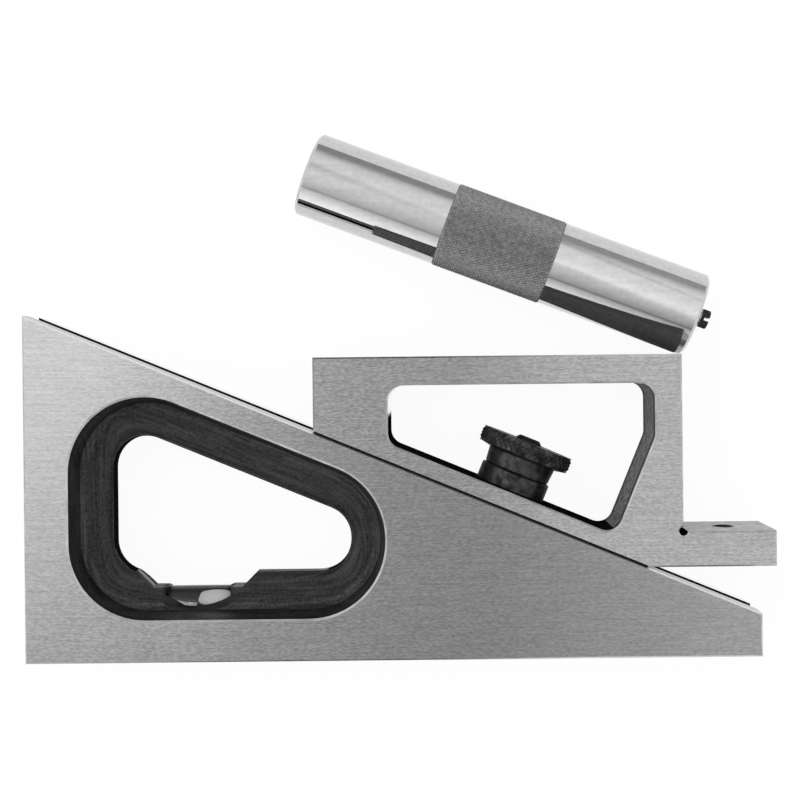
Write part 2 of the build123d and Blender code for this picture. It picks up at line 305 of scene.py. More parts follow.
def slot_grime_and_shade():
    """Almost black and dull: old oil and iron dust in slots, holes and seams, and painted shade
    there.
    """
    material, tree = new_material("oil_dust_and_painted_shade")
    grain = noise(tree, object_coordinates(tree), 1 / (0.6 * MM), detail=3.0)
    finish_material(tree, {
        "Base Color": shade_mix(tree, spread(tree, grain, 0.3, 0.7, 0, 1), "#0a0a0a", "#1c1c1c"),
        "Roughness": 0.7, "Specular IOR Level": 0.0,
    })
    return material


# The recess's own outline, which the brush marks and the casting's skin follow.
RECESS_LEFT = 7.8 * MM
RECESS_BOTTOM = 7.5 * MM
RECESS_RIGHT = 64.6 * MM
RECESS_UNDER_INCLINE = 4.3 * MM
RECESS_CORNER = 13.8 * MM
RECESS_MARGIN = 0.1 * MM

# Brush marks in the black paint, and the black line of painted shade at the recess's rim, whose
# distance from the middle plane is given by where it starts and ends.
BRUSH_MARK_WIDTH = 0.45 * MM
BRUSH_MARK_LENGTH = 9 * MM
PAINT_RELIEF = 0.12 * MM
RIM_LINE_START = 7.7 * MM
RIM_LINE_END = 8.2 * MM


def distance_in_recess(tree):
    """Distance of a point from the recess's outline, with its corners rounded."""
    place = object_coordinates(tree)

    def beyond_line(direction, start):
        along = vector_math(tree, "DOT_PRODUCT", place, direction, "Value")
        return combine(tree, "SUBTRACT", along, start)

    def nearer(first, second):
        return add_node(tree, "ShaderNodeMath", {"operation": "SMOOTH_MIN"}, {
            0: first, 1: second, 2: RECESS_CORNER}).outputs[0]

    from_left = beyond_line((1, 0, 0), base_low.x + RECESS_LEFT)
    from_bottom = beyond_line((0, 1, 0), base_low.y + RECESS_BOTTOM)
    from_right = beyond_line((-1, 0, 0), -base_low.x - RECESS_RIGHT)
    from_top = beyond_line(-OUT_OF_INCLINE, RECESS_UNDER_INCLINE - INCLINE_LEVEL)
    return nearer(nearer(from_left, from_bottom), nearer(from_right, from_top))


def black_casting(name, dark, light):
    """Sand-cast iron, painted black by brush: dull, grained by the sand, with the brush's
    marks running round the recess."""
    material, tree = new_material(name)
    place = object_coordinates(tree)
    grain = noise(tree, place, 1 / (0.45 * MM), detail=3.0, roughness=0.6)
    cloud = noise(tree, place, 1 / (3.0 * MM), detail=2.0)
    inwards = combine(tree, "DIVIDE", distance_in_recess(tree), BRUSH_MARK_WIDTH)
    slow = object_coordinates(tree, [1 / BRUSH_MARK_LENGTH] * 3)
    along = add_node(tree, "ShaderNodeCombineXYZ", inputs={
        "X": inwards, "Y": part_of(tree, slow, "X"), "Z": part_of(tree, slow, "Y")})
    marks = noise(tree, along.outputs["Vector"], 1.0, detail=2.0, roughness=0.55)
    tone = weigh(tree, (grain, 0.45), (marks, 0.43), (cloud, 0.12))
    # Painted shade: the recess's wall is near black along its rim.
    inside_rim = spread(tree, from_middle_plane(tree), RIM_LINE_START, RIM_LINE_END, 1, 0)
    level = combine(tree, "MULTIPLY", spread(tree, tone, 0.42, 0.6, 0, 1), inside_rim)
    finish_material(tree, {
        "Base Color": shade_mix(tree, level, dark, light),
        "Roughness": spread(tree, tone, 0.4, 0.6, 0.56, 0.4),
        "Specular IOR Level": 0.24,
        "Normal": bump(tree, combine(tree, "ADD", grain, marks), PAINT_RELIEF, 0.9),
    })
    return material


# Height over the incline at which the painted shade on the window's left wall gives way.
PAINTED_SHADE_TOP = 7.4 * MM
PAINTED_SHADE_END = 8.3 * MM


def shaded_steel_wall():
    """Side wall of the slide's window: bright bare steel that mirrors the white table, and black
    and dull near the window's floor, a painted shade."""
    material, tree = new_material("steel_wall_painted_shade")
    over = vector_math(tree, "DOT_PRODUCT", object_coordinates(tree), OUT_OF_INCLINE, "Value")
    unshaded = spread(tree, combine(tree, "SUBTRACT", over, INCLINE_LEVEL), PAINTED_SHADE_TOP, PAINTED_SHADE_END, 0, 1)
    finish_material(tree, {
        "Base Color": shade_mix(tree, unshaded, "#080808", "#f4f4f4"),
        "Metallic": unshaded,
        "Roughness": spread(tree, unshaded, 0, 1, 0.8, 0.15),
        "Specular IOR Level": 0.0,
    })
    return material


def mottled_steel(name, dark, light):
    """Steel that the mill left rough: dull, blotched with old oil, and black towards both
    edges, a painted shade."""
    material, tree = new_material(name)
    place = object_coordinates(tree)
    blotch = noise(tree, place, 1 / (0.9 * MM), detail=3.0, roughness=0.6)
    bare = combine(tree, "MULTIPLY", spread(tree, blotch, 0.36, 0.62, 0.1, 1),
                   spread(tree, from_middle_plane(tree), 5.5 * MM, 7.5 * MM, 1, 0))
    finish_material(tree, {
        "Base Color": shade_mix(tree, bare, dark, light),
        "Roughness": 0.7, "Specular IOR Level": 0.1,
    })
    return material


# Painted shade round the mouth of the ledge's hole, black where the hole's dark opening is widened:
# its middle and its reach along X and Z.
MOUTH_OFFSET = 0.35 * MM
MOUTH_MIDDLE = Vector((slide_high.x - LEDGE_LENGTH / 2 + MOUTH_OFFSET, 0, THICKNESS / 2))
MOUTH_REACH = Vector((1.75, 1, 3.0)) * MM


def shaded_ledge_top():
    """Top of the ledge: ground steel gone grey where fingers hold it, painted black round the
    mouth of its hole, a painted shade."""
    material, tree = new_material("ground_steel_painted_shade")
    place = object_coordinates(tree)
    blotch = noise(tree, place, 1 / (1.6 * MM), detail=3.0, roughness=0.6)
    from_mouth = vector_math(tree, "SUBTRACT", place, MOUTH_MIDDLE)
    level = vector_math(tree, "MULTIPLY", from_mouth, (1 / MOUTH_REACH.x, 0, 1 / MOUTH_REACH.z))
    reach = vector_math(tree, "LENGTH", level, (0, 0, 0), "Value")
    unshaded = combine(tree, "MULTIPLY", spread(tree, reach, 0.9, 1.15, 0, 1),
                    spread(tree, blotch, 0.3, 0.7, 0.55, 1))
    finish_material(tree, {
        "Base Color": shade_mix(tree, unshaded, "#050505", "#cccccc"),
        "Metallic": 0.5, "Roughness": 0.45, "Specular IOR Level": 0.1,
        "Specular Tint": (0.6, 0.6, 0.6, 1),
    })
    return material


def lapped_iron():
    """The incline, lapped by the slide: so smooth that at a low angle it mirrors the white
    table."""
    material, tree = new_material("lapped_cast_iron")
    cloud = noise(tree, object_coordinates(tree), 1 / (2.0 * MM), detail=3.0)
    finish_material(tree, {
        "Base Color": shade_mix(tree, spread(tree, cloud, 0.3, 0.7, 0, 1), "#d2d2d2", "#e6e6e6"),
        "Metallic": 1.0,
        "Roughness": spread(tree, cloud, 0.3, 0.7, 0.06, 0.1),
    })
    return material


def black_oxide():
    """Black oxide on turned steel: satin black with a faint metallic sheen."""
    material, tree = new_material("black_oxide_steel")
    place = object_coordinates(tree)
    cloud = noise(tree, place, 1 / (1.7 * MM), detail=2.0, roughness=0.5)
    finish_material(tree, {
        "Base Color": shade_mix(tree, spread(tree, cloud, 0.34, 0.66, 0, 1), "#1e1e1e", "#424242"),
        "Metallic": 0.6,
        "Roughness": spread(tree, cloud, 0.35, 0.65, 0.45, 0.3),
        "Specular Tint": (0.08, 0.08, 0.08, 1), "Specular IOR Level": 0.15,
    })
    return material


STREAK_LENGTH = 12 * MM
STREAK_WIDTH = 0.7 * MM


def polished_steel():
    """Turned steel, polished along its axis: bright, with faint streaks down its length."""
    material, tree = new_material("polished_steel")
    streaks = object_coordinates(
        tree, (1 / STREAK_LENGTH, 1 / STREAK_WIDTH, 1 / STREAK_WIDTH), (0, 0, ROD_LEAN))
    lines = noise(tree, streaks, 1.0, detail=2.0)
    cloud = noise(tree, object_coordinates(tree), 1 / (0.9 * MM), detail=2.0)
    tone = weigh(tree, (lines, 0.5), (cloud, 0.5))
    finish_material(tree, {
        "Base Color": shade_mix(tree, spread(tree, tone, 0.3, 0.7, 0, 1), "#bebebe", "#d0d0d0"),
        "Metallic": 1.0,
        "Roughness": spread(tree, tone, 0.3, 0.7, 0.05, 0.08),
    })
    return material


def knurled_steel():
    """Knurled steel: pressed into fine points, and coloured a duller, darker grey than the polished
    steel beside it."""
    material, tree = new_material("knurled_steel")
    grain = noise(tree, object_coordinates(tree), 1 / (0.7 * MM), detail=2.0)
    finish_material(tree, {
        "Base Color": shade_mix(tree, spread(tree, grain, 0.3, 0.7, 0, 1), "#686868", "#888888"),
        "Metallic": 0.35,
        "Roughness": 0.5,
    })
    return material


# The level's seat, and the arc that its plaster bed is struck off to. Left of the bubble a
# lip of plaster stands on the arc.
SEAT_MIDDLE = Vector((base_low.x + 29.9 * MM, base_low.y + 12.65 * MM, THICKNESS / 2))
SEAT_LENGTH = 12.9 * MM
SEAT_DEPTH = 6.7 * MM
STRIKE_RADIUS = 12.5 * MM
STRIKE_CENTRE = Vector((base_low.x + 29.6 * MM, base_low.y + 9.3 * MM + STRIKE_RADIUS, 0))
LIP_HEIGHT = 0.6 * MM
LIP_START = base_low.x + 26.0 * MM
LIP_END = base_low.x + 29.7 * MM


def painted_plaster():
    """Set plaster under the same black paint as the casting, but for the chipped lip, where the
    chalky white shows, with a painted shadow, a black line, under it."""
    material, tree = new_material("painted_plaster")
    place = object_coordinates(tree)
    cloud = noise(tree, place, 1 / (0.5 * MM), detail=4.0)
    flat = vector_math(tree, "MULTIPLY", place, (1, 1, 0))
    from_centre = vector_math(tree, "DISTANCE", flat, STRIKE_CENTRE, "Value")
    below_arc = combine(tree, "SUBTRACT", from_centre, STRIKE_RADIUS)
    wander = combine(tree, "MULTIPLY", combine(tree, "SUBTRACT", cloud, 0.5), 0.3 * MM)
    ragged = combine(tree, "ADD", below_arc, wander)
    x = part_of(tree, place, "X")
    along_lip = combine(tree, "MULTIPLY", spread(tree, x, LIP_START, LIP_START + 0.5 * MM, 0, 1),
                        spread(tree, x, LIP_END, LIP_END + 0.3 * MM, 1, 0))
    foot = spread(tree, x, LIP_START, LIP_START + 1.6 * MM, -LIP_HEIGHT, -0.1 * MM)
    under_foot = combine(tree, "SUBTRACT", ragged, foot)
    bare = combine(tree, "MULTIPLY", along_lip, spread(tree, under_foot, 0, 0.1 * MM, 1, 0))
    # Painted shadow: a black line under the lip.
    shade_darkened = combine(tree, "MULTIPLY", along_lip,
                    spread(tree, below_arc, 0.35 * MM, 0.45 * MM, 1, 0))
    chalk = shade_mix(tree, spread(tree, cloud, 0.3, 0.7, 0, 1), "#747473", "#aaaaa8")
    painted = shade_mix(tree, shade_darkened, "#1c1c1c", "#030303")
    finish_material(tree, {
        "Base Color": mix_colours(tree, bare, painted, chalk), "Roughness": 0.6,
        "Specular IOR Level": 0.2, "Normal": bump(tree, cloud, 0.08 * MM)})
    return material


def slope_painted_highlight():
    """The notch's left slope: a bright painted highlight along its middle, black at both edges."""
    material, tree = new_material("cast_iron_painted_highlight")
    place = object_coordinates(tree)
    wander = combine(tree, "MULTIPLY", noise(tree, place, 1 / (0.7 * MM), detail=3.0), 1.2 * MM)
    reach = combine(tree, "ADD", from_middle_plane(tree), wander)
    highlight_band = spread(tree, reach, 1.3 * MM, 1.7 * MM, 1, 0)
    finish_material(tree, {
        "Base Color": shade_mix(tree, highlight_band, "#0c0c0c", "#a0a0a0"),
        "Metallic": 0.3, "Roughness": 0.6, "Specular IOR Level": 0.1})
    return material


def level_glass():
    """Old lamp-blown glass, dimmed by oil."""
    material, tree = new_material("level_glass")
    finish_material(tree, {
        "Base Color": linear("#dadbda"), "Roughness": 0.04, "IOR": 1.5, "Transmission Weight": 1.0,
        "Specular Tint": (0.2, 0.2, 0.2, 1)})
    return material


def level_spirit():
    """Alcohol in front of the dark seat: a deep grey with a soft gloss."""
    material, tree = new_material("level_spirit")
    finish_material(tree, {
        "Base Color": linear("#454645"), "Roughness": 0.3, "Specular IOR Level": 0.2})
    return material


def level_bubble():
    """The bubble: pale, a painted reflection of the light it throws back, with a painted dark rim
    above.
    """
    material, tree = new_material("level_bubble")
    normal = add_node(tree, "ShaderNodeNewGeometry").outputs["Normal"]
    upwards = part_of(tree, normal, "Y")
    # Painted dark rim: the colour turns black where the normal points up along Y.
    finish_material(tree, {
        "Base Color": shade_mix(tree, spread(tree, upwards, 0.8, 0.92, 0, 1), "#f6f6f5", "#050505"),
        "Roughness": 0.7, "Specular IOR Level": 0.1})
    return material


ground_iron = ground_metal("ground_cast_iron", "#808080", "#a1a1a1", 0.22, BASE_PAINTED_LIGHT)
ground_steel = ground_metal("ground_tool_steel", "#8f8f8f", "#bababa", 0.22, SLIDE_PAINTED_LIGHT)
bare_edge = bare_metal_edge()
bright_edge = stoned_edge()
highlit_incline_edge = incline_edge()
dark_reflection_edge = dark_edge()
grime_and_shade = slot_grime_and_shade()
casting = black_casting("blackened_cast_iron", "#080808", "#2c2c2c")
# The recess's foot, painted lighter than the rest: a painted highlight.
highlit_casting = black_casting("black_cast_iron_painted_highlight", "#141414", "#3c3c3c")
shaded_wall = shaded_steel_wall()
mottled = mottled_steel("blotched_steel_wall", "#1a1a1a", "#7c7c7c")
# The slide's top face: a dull grey, darker than the ground faces, and darker towards both edges.
dark_top = mottled_steel("dull_grey_steel", "#505050", "#666666")
oxide = black_oxide()
polished = polished_steel()
knurled = knurled_steel()
bed_plaster = painted_plaster()
slope_highlight = slope_painted_highlight()
lapped = lapped_iron()
shade_darkened = shaded_ledge_top()
glass = level_glass()
spirit_dark = level_spirit()
bubble_pale = level_bubble()


def dress(node_name, *materials):
    mesh = NODES[node_name].data
    mesh.materials.clear()
    for material in materials:
        mesh.materials.append(material)


dress("base_frame", ground_iron, bright_edge, dark_reflection_edge, bare_edge, grime_and_shade, casting,
      highlit_casting, slope_highlight, lapped, highlit_incline_edge)
dress("slide_block", ground_steel, bright_edge, dark_reflection_edge, bare_edge, grime_and_shade, shaded_wall, mottled,
      shade_darkened, dark_top)
dress("level_vial", glass)
dress("vial_bed", bed_plaster)
dress("clamp_bolt", oxide)
dress("clamp_washer", oxide)
dress("thumb_nut", oxide)
dress("extension_rod", polished)
dress("extension_stud", oxide)

# Material slots, in the order above: the first five are alike on the base and the slide.
FACE, BRIGHT_EDGE, DARK_REFLECTION_EDGE, BARE_EDGE, GRIME_AND_SHADE = range(5)
PAINTED, FOOT_HIGHLIGHT, SLOPE_HIGHLIGHT, LAPPED, INCLINE_EDGE_HIGHLIGHT = range(5, 10)
WALL_SHADE, MOTTLED, LEDGE_TOP_SHADE, DARK_TOP = range(5, 9)

# Sizes by which the faces of the base and the slide are told apart. HAIR is a distance too
# small to see, and FLAT how much of a flat face's normal lies along one axis.
EDGE_BREAK = 0.3 * MM
WEB_HALF = 3.175 * MM
RECESS_FOOT = 0.9 * MM
NOTCH_TOP = 16.5 * MM
SLOT_DEPTH = 4.3 * MM
SLOT_HALF_WIDTH = 4.6 * MM
SLIDE_FLOOR = 3.1 * MM
SLIDE_HEIGHT = 38.1 * MM
WINDOW_LEFT = 13.3 * MM
WINDOW_RIGHT = 61.3 * MM
WINDOW_TOP = 5.0 * MM
LEDGE_THICKNESS = 6.35 * MM
RELIEF_RADIUS = 0.85 * MM
HAIR = 0.02 * MM
FLAT = 0.9


def height_over_incline(point):
    return (point - HEEL_TOP).dot(OUT_OF_INCLINE)


def on_side(point):
    """On one of the two ground sides, or on their broken edges."""
    return min(point.z - base_low.z, base_high.z - point.z) < EDGE_BREAK


def in_recess(point):
    from_heel = point.x - base_low.x
    from_sole = point.y - base_low.y
    in_bounds = RECESS_LEFT - RECESS_MARGIN < from_heel < RECESS_RIGHT + RECESS_MARGIN
    under = height_over_incline(point) < RECESS_MARGIN - RECESS_UNDER_INCLINE
    return in_bounds and under and from_sole > RECESS_BOTTOM - RECESS_MARGIN


def in_slide_window(point):
    in_bounds = WINDOW_LEFT < point.x - slide_low.x < WINDOW_RIGHT
    over_floor = height_over_incline(point) > SLIDE_FLOOR
    return in_bounds and over_floor and slide_high.y - point.y > WINDOW_TOP


def on_outer_edge(point, low, high):
    """On one of the outermost upright edges of a node."""
    return min(point.x - low.x, high.x - point.x) < EDGE_BREAK


def recess_finish(point, normal):
    """The web's through walls are near black with painted shade, the notch's left slope has a
    painted highlight, and the foot of the recess is painted lighter, a painted highlight."""
    from_middle = abs(point.z - THICKNESS / 2)
    if from_middle < WEB_HALF - HAIR:
        on_notch_slope = point.y - base_low.y < NOTCH_TOP and min(normal.x, normal.y) > 0.6
        # The notch's left slope: a painted highlight along its middle.
        if on_notch_slope and point.x < SEAT_MIDDLE.x and abs(normal.x - normal.y) < 0.02:
            return SLOPE_HIGHLIGHT
        return GRIME_AND_SHADE if abs(normal.z) < 0.35 and normal.y < 0.95 else PAINTED
    slanted = 0.3 < abs(normal.z) < 0.95
    return FOOT_HIGHLIGHT if slanted and from_middle < WEB_HALF + RECESS_FOOT else PAINTED


def base_finish(point, normal):
    if on_side(point):
        if abs(normal.z) > FLAT:
            return FACE
        # The sole's edge: a painted dark reflection.
        if point.y - base_low.y < EDGE_BREAK:
            return DARK_REFLECTION_EDGE
        # The incline's edges: a painted highlight in the open, and painted shade of the seam under
        # the slide.
        if height_over_incline(point) > -EDGE_BREAK:
            return INCLINE_EDGE_HIGHLIGHT
        return BARE_EDGE if on_outer_edge(point, base_low, base_high) else BRIGHT_EDGE
    if in_recess(point):
        return recess_finish(point, normal)
    # The slot: near black with old oil and dust, and painted shade inside it.
    in_slot = abs(point.z - THICKNESS / 2) < SLOT_HALF_WIDTH
    if in_slot and -SLOT_DEPTH < height_over_incline(point) < -HAIR:
        return GRIME_AND_SHADE
    beyond_slot = point.z < THICKNESS / 2 and normal.dot(OUT_OF_INCLINE) > 0.99
    return LAPPED if beyond_slot else FACE


def slide_window_finish(normal):
    """Near black on the window's floor, painted shade low on its left wall, and blotched on its
    right walls.
    """
    if normal.dot(OUT_OF_INCLINE) > 0.7:
        return GRIME_AND_SHADE
    if normal.x > 0.5:
        return WALL_SHADE
    return MOTTLED if normal.x < -0.3 else FACE


def slide_finish(point, normal):
    underside = slide_high.y - SLIDE_HEIGHT
    foot = Vector((slide_high.x - LEDGE_LENGTH, underside + LEDGE_THICKNESS, point.z))
    if on_side(point):
        if abs(normal.z) > FLAT:
            return FACE
        # The slide's broken edges at the seam: near black, painted shade between the parts.
        if height_over_incline(point) < EDGE_BREAK + HAIR and normal.y < 0:
            return GRIME_AND_SHADE
        # The slide's top edge: a painted dark reflection.
        if slide_high.y - point.y < EDGE_BREAK:
            return DARK_REFLECTION_EDGE
        at_right = abs(point.x - foot.x) < EDGE_BREAK and point.y > foot.y
        under = abs(point.y - underside) < EDGE_BREAK
        outer = on_outer_edge(point, slide_low, slide_high) or at_right or under
        return BARE_EDGE if outer else BRIGHT_EDGE
    if in_slide_window(point):
        return slide_window_finish(normal)
    # The corner relief and the ledge's hole: near black, painted shade inside them.
    if (point - foot).length < RELIEF_RADIUS:
        return GRIME_AND_SHADE
    in_ledge_hole = point.x > foot.x + RELIEF_RADIUS and underside + HAIR < point.y < foot.y - HAIR
    on_end = slide_high.x - point.x < HAIR
    # The ledge's top: painted shade round the mouth of its hole.
    if abs(point.y - foot.y) < HAIR and point.x > foot.x:
        return LEDGE_TOP_SHADE
    if slide_high.y - point.y < HAIR:
        return DARK_TOP
    return GRIME_AND_SHADE if in_ledge_hole and not on_end else FACE


def finish_faces(node_name, finish):
    """Gives each face of a CAD node the finish of its place."""
    for face in NODES[node_name].data.polygons:
        face.material_index = finish(face.center, face.normal)


finish_faces("base_frame", base_finish)
finish_faces("slide_block", slide_finish)


# New pieces: helpers

def select_only(piece):
    bpy.ops.object.select_all(action="DESELECT")
    piece.select_set(True)
    bpy.context.view_layer.objects.active = piece


def pick_vertices(piece, wanted):
    """Selects those vertices of a piece that a test picks, and leaves it in edit mode."""
    select_only(piece)
    bpy.ops.object.mode_set(mode="EDIT")
    bpy.ops.mesh.select_mode(type="VERT")
    bpy.ops.mesh.select_all(action="DESELECT")
    bpy.ops.object.mode_set(mode="OBJECT")
    for vertex in piece.data.vertices:
        vertex.select = wanted(vertex.co)
    bpy.ops.object.mode_set(mode="EDIT")


def turned(name, section, segments):
    """A piece turned about Z: a ring that is drawn out along a section of radii and heights.
    A section that starts and ends off the axis in the same place makes a ring."""
    bpy.ops.object.select_all(action="DESELECT")
    radius, height = section[0]
    bpy.ops.mesh.primitive_circle_add(vertices=segments, radius=radius)
    piece = bpy.context.object
    piece.name = name
    bpy.ops.object.mode_set(mode="EDIT")
    bpy.ops.mesh.select_all(action="SELECT")
    bpy.ops.transform.translate(value=(0, 0, height))
    for next_radius, next_height in section[1:]:
        bpy.ops.mesh.extrude_edges_move(
            TRANSFORM_OT_translate={"value": (0, 0, next_height - height)})
        scale = next_radius / radius
        bpy.ops.transform.resize(value=(scale, scale, 1), center_override=(0, 0, next_height))
        radius, height = next_radius, next_height
    bpy.ops.mesh.select_all(action="SELECT")
    bpy.ops.mesh.remove_doubles(threshold=0.0002 * MM)
    bpy.ops.mesh.select_all(action="DESELECT")
    bpy.ops.mesh.select_mode(type="EDGE")
    bpy.ops.mesh.select_non_manifold()
    bpy.ops.mesh.fill_holes(sides=0)
    bpy.ops.mesh.select_all(action="SELECT")
    bpy.ops.mesh.normals_make_consistent(inside=False)
    bpy.ops.object.mode_set(mode="OBJECT")
    return piece


def put_in_place(piece, origin, x_direction, z_direction):
    """Moves a piece from its own axes to its place, and leaves the place in its mesh."""
    y_direction = z_direction.cross(x_direction)
    turn = Matrix((x_direction, y_direction, z_direction)).transposed().to_4x4()
    select_only(piece)
    piece.matrix_world = Matrix.Translation(origin) @ turn
    bpy.ops.object.transform_apply(location=True, rotation=True, scale=True)


def cut_with(piece, cutter, operation="DIFFERENCE"):
    """Cuts a piece with another that is then thrown away."""
    cut = piece.modifiers.new("cut", "BOOLEAN")
    cut.operation = operation
    cut.object = cutter
    select_only(piece)
    bpy.ops.object.modifier_apply(modifier=cut.name)
    bpy.data.objects.remove(cutter)


def even_rings(radius, start, length, count):
    return [(radius, start + length * i / count) for i in range(count + 1)]


def knurl(piece, band_start, row_length, rows, segments, depth, radius):
    """Presses a diamond knurl into a band: every other crossing of rings and lines goes in,
    and so do both end rings."""
    def pressed(place):
        row = round((place.z - band_start) / row_length)
        if not 0 <= row <= rows or place.xy.length < radius - depth / 2:
            return False
        column = round(atan2(place.y, place.x) / (2 * pi) * segments)
        return row in (0, rows) or (row + column) % 2 == 1

    pick_vertices(piece, pressed)
    scale = (radius - depth) / radius
    bpy.ops.transform.resize(value=(scale, scale, 1), center_override=(0, 0, 0))
    bpy.ops.mesh.select_all(action="SELECT")
    bpy.ops.mesh.quads_convert_to_tris(quad_method="SHORTEST_DIAGONAL")
    bpy.ops.object.mode_set(mode="OBJECT")


# Extension: a 3 inch round with a knurled band, lying beside the slide. Its own axis runs
# from the end by the slide, back to the far end.

ROD_LENGTH = 76.2 * MM
ROD_RADIUS = 7.8 * MM
ROD_BEVEL = 0.5 * MM
ROD_GAP = 0.25 * MM
ROD_OVERHANG = 1.2 * MM
BAND_RADIUS = 7.95 * MM
BAND_START = 28.2 * MM
BAND_LENGTH = 20.9 * MM
BAND_STEP = 0.01 * MM
BAND_ROWS = 48
BAND_DEPTH = 0.26 * MM
ROD_SIDES = 160
STUD_RADIUS = 1.75 * MM
STUD_BORE = 1.76 * MM
STUD_DEPTH = 6.0 * MM
STUD_PROUD = 2.6 * MM
STUD_PITCH = 0.6 * MM
STUD_THREAD_DEPTH = 0.22 * MM
STUD_BEVEL = 0.15 * MM
STUD_HEAD = 1.6 * MM
STUD_SLOT = 0.7 * MM
STUD_SLOT_DEPTH = 1.0 * MM
STUD_CREST = (0.4 * STUD_PITCH, 0.6 * STUD_PITCH)
STUD_END_RING = 0.2 * STUD_RADIUS
STUD_SIDES = 32
ROD_BACK = Vector((-cos(ROD_LEAN), sin(ROD_LEAN), 0))
ROD_ACROSS = Vector((sin(ROD_LEAN), cos(ROD_LEAN), 0))
ALONG_SOLE = Vector((1, 0, 0))
UP = Vector((0, 0, 1))


def rod_end():
    """Middle of the extension's end face, just past the slide's upper right corner."""
    corner = Vector((slide_high.x - LEDGE_LENGTH, slide_high.y, BAND_RADIUS))
    return corner - ROD_BACK * ROD_OVERHANG + ROD_ACROSS * (ROD_RADIUS + ROD_GAP)


def make_extension():
    knurl_start = BAND_START + BAND_STEP
    knurl_length = BAND_LENGTH - 2 * BAND_STEP
    section = [(STUD_BORE, STUD_DEPTH), (STUD_BORE, 0), (ROD_RADIUS - ROD_BEVEL, 0),
               (ROD_RADIUS, ROD_BEVEL), (ROD_RADIUS, BAND_START)]
    section += even_rings(BAND_RADIUS, knurl_start, knurl_length, BAND_ROWS)
    section += [(ROD_RADIUS, BAND_START + BAND_LENGTH), (ROD_RADIUS, ROD_LENGTH - ROD_BEVEL),
                (ROD_RADIUS - ROD_BEVEL, ROD_LENGTH)]
    rod = turned("extension", section, ROD_SIDES)
    knurl(rod, knurl_start, knurl_length / BAND_ROWS, BAND_ROWS, ROD_SIDES, BAND_DEPTH, BAND_RADIUS)
    bpy.ops.object.shade_smooth_by_angle(angle=radians(12))
    put_in_place(rod, rod_end(), UP, ROD_BACK)
    rod.data.materials.append(polished)
    rod.data.materials.append(knurled)
    for face in rod.data.polygons:
        behind = (face.center - rod_end()).dot(ROD_BACK)
        face.material_index = int(BAND_START < behind < BAND_START + BAND_LENGTH)
    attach(rod, "slide")
    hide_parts("extension_rod")


def make_stud():
    """Screw in the extension's end: a black slotted head on a bright threaded shank."""
    tip = -STUD_PROUD
    root = STUD_RADIUS - STUD_THREAD_DEPTH
    thread_start = tip + STUD_HEAD + STUD_BEVEL
    section = [(STUD_END_RING, tip), (STUD_RADIUS - STUD_BEVEL, tip),
               (STUD_RADIUS, tip + STUD_BEVEL), (STUD_RADIUS, tip + STUD_HEAD),
               (root, thread_start)]
    for turn in range(int((STUD_DEPTH - thread_start) / STUD_PITCH)):
        foot = thread_start + turn * STUD_PITCH
        section += [(STUD_RADIUS, foot + STUD_CREST[0]), (STUD_RADIUS, foot + STUD_CREST[1]),
                    (root, foot + STUD_PITCH)]
    section += [(root, STUD_DEPTH)]
    stud = turned("extension_screw", section, STUD_SIDES)
    bpy.ops.object.shade_smooth_by_angle(angle=radians(25))
    bpy.ops.mesh.primitive_cube_add(size=1.0, location=(0, 0, tip),
                                    scale=(4 * STUD_RADIUS, STUD_SLOT, 2 * STUD_SLOT_DEPTH))
    cutter = bpy.context.object
    bpy.ops.object.transform_apply(location=True, rotation=True, scale=True)
    cut_with(stud, cutter)
    put_in_place(stud, rod_end(), UP, ROD_BACK)
    stud.data.materials.clear()
    stud.data.materials.append(oxide)
    stud.data.materials.append(polished)
    for face in stud.data.polygons:
        behind = (face.center - rod_end()).dot(ROD_BACK)
        face.material_index = int(behind > tip + STUD_HEAD + HAIR)
    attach(stud, "slide")
    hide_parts("extension_stud")


# Thumb nut: a neck, a short cone and a knurled disc. Its axis stands square to the incline.

CLAMP_ALONG = 92.97 * MM
NUT_FOOT = 6.52 * MM
NUT_BORE = 2.435 * MM
NUT_FOOT_RADIUS = 6.1 * MM
NUT_NECK_RADIUS = 6.35 * MM
NUT_NECK_HEIGHT = 2.9 * MM
NUT_CONE_HEIGHT = 0.44 * MM
NUT_DISC_RADIUS = 8.75 * MM
NUT_DISC_HEIGHT = 2.7 * MM
NUT_BEVEL = 0.25 * MM
NUT_RIM = 0.15 * MM
NUT_ROWS = 4
NUT_SIDES = 96
NUT_KNURL_DEPTH = 0.3 * MM


def make_nut():
    disc_foot = NUT_NECK_HEIGHT + NUT_CONE_HEIGHT
    top = disc_foot + NUT_DISC_HEIGHT
    band_start = disc_foot + 1.5 * NUT_RIM
    band_length = NUT_DISC_HEIGHT - 3 * NUT_RIM
    section = [(NUT_BORE, 0), (NUT_FOOT_RADIUS - NUT_BEVEL, 0), (NUT_FOOT_RADIUS, NUT_BEVEL),
               (NUT_NECK_RADIUS, NUT_NECK_HEIGHT), (NUT_DISC_RADIUS - NUT_RIM, disc_foot),
               (NUT_DISC_RADIUS, disc_foot + NUT_RIM)]
    section += even_rings(NUT_DISC_RADIUS, band_start, band_length, NUT_ROWS)
    section += [(NUT_DISC_RADIUS, top - NUT_RIM), (NUT_DISC_RADIUS - NUT_RIM, top),
                (NUT_BORE + NUT_BEVEL, top), (NUT_BORE, top - NUT_BEVEL), (NUT_BORE, 0)]
    nut = turned("knurled_thumb_nut", section, NUT_SIDES)
    row = band_length / NUT_ROWS
    knurl(nut, band_start, row, NUT_ROWS, NUT_SIDES, NUT_KNURL_DEPTH, NUT_DISC_RADIUS)
    bpy.ops.object.shade_smooth_by_angle(angle=radians(12))
    put_in_place(nut, on_incline(CLAMP_ALONG, NUT_FOOT), DOWN_INCLINE, OUT_OF_INCLINE)
    nut.data.materials.append(oxide)
    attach(nut, "nut")
    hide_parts("thumb_nut")


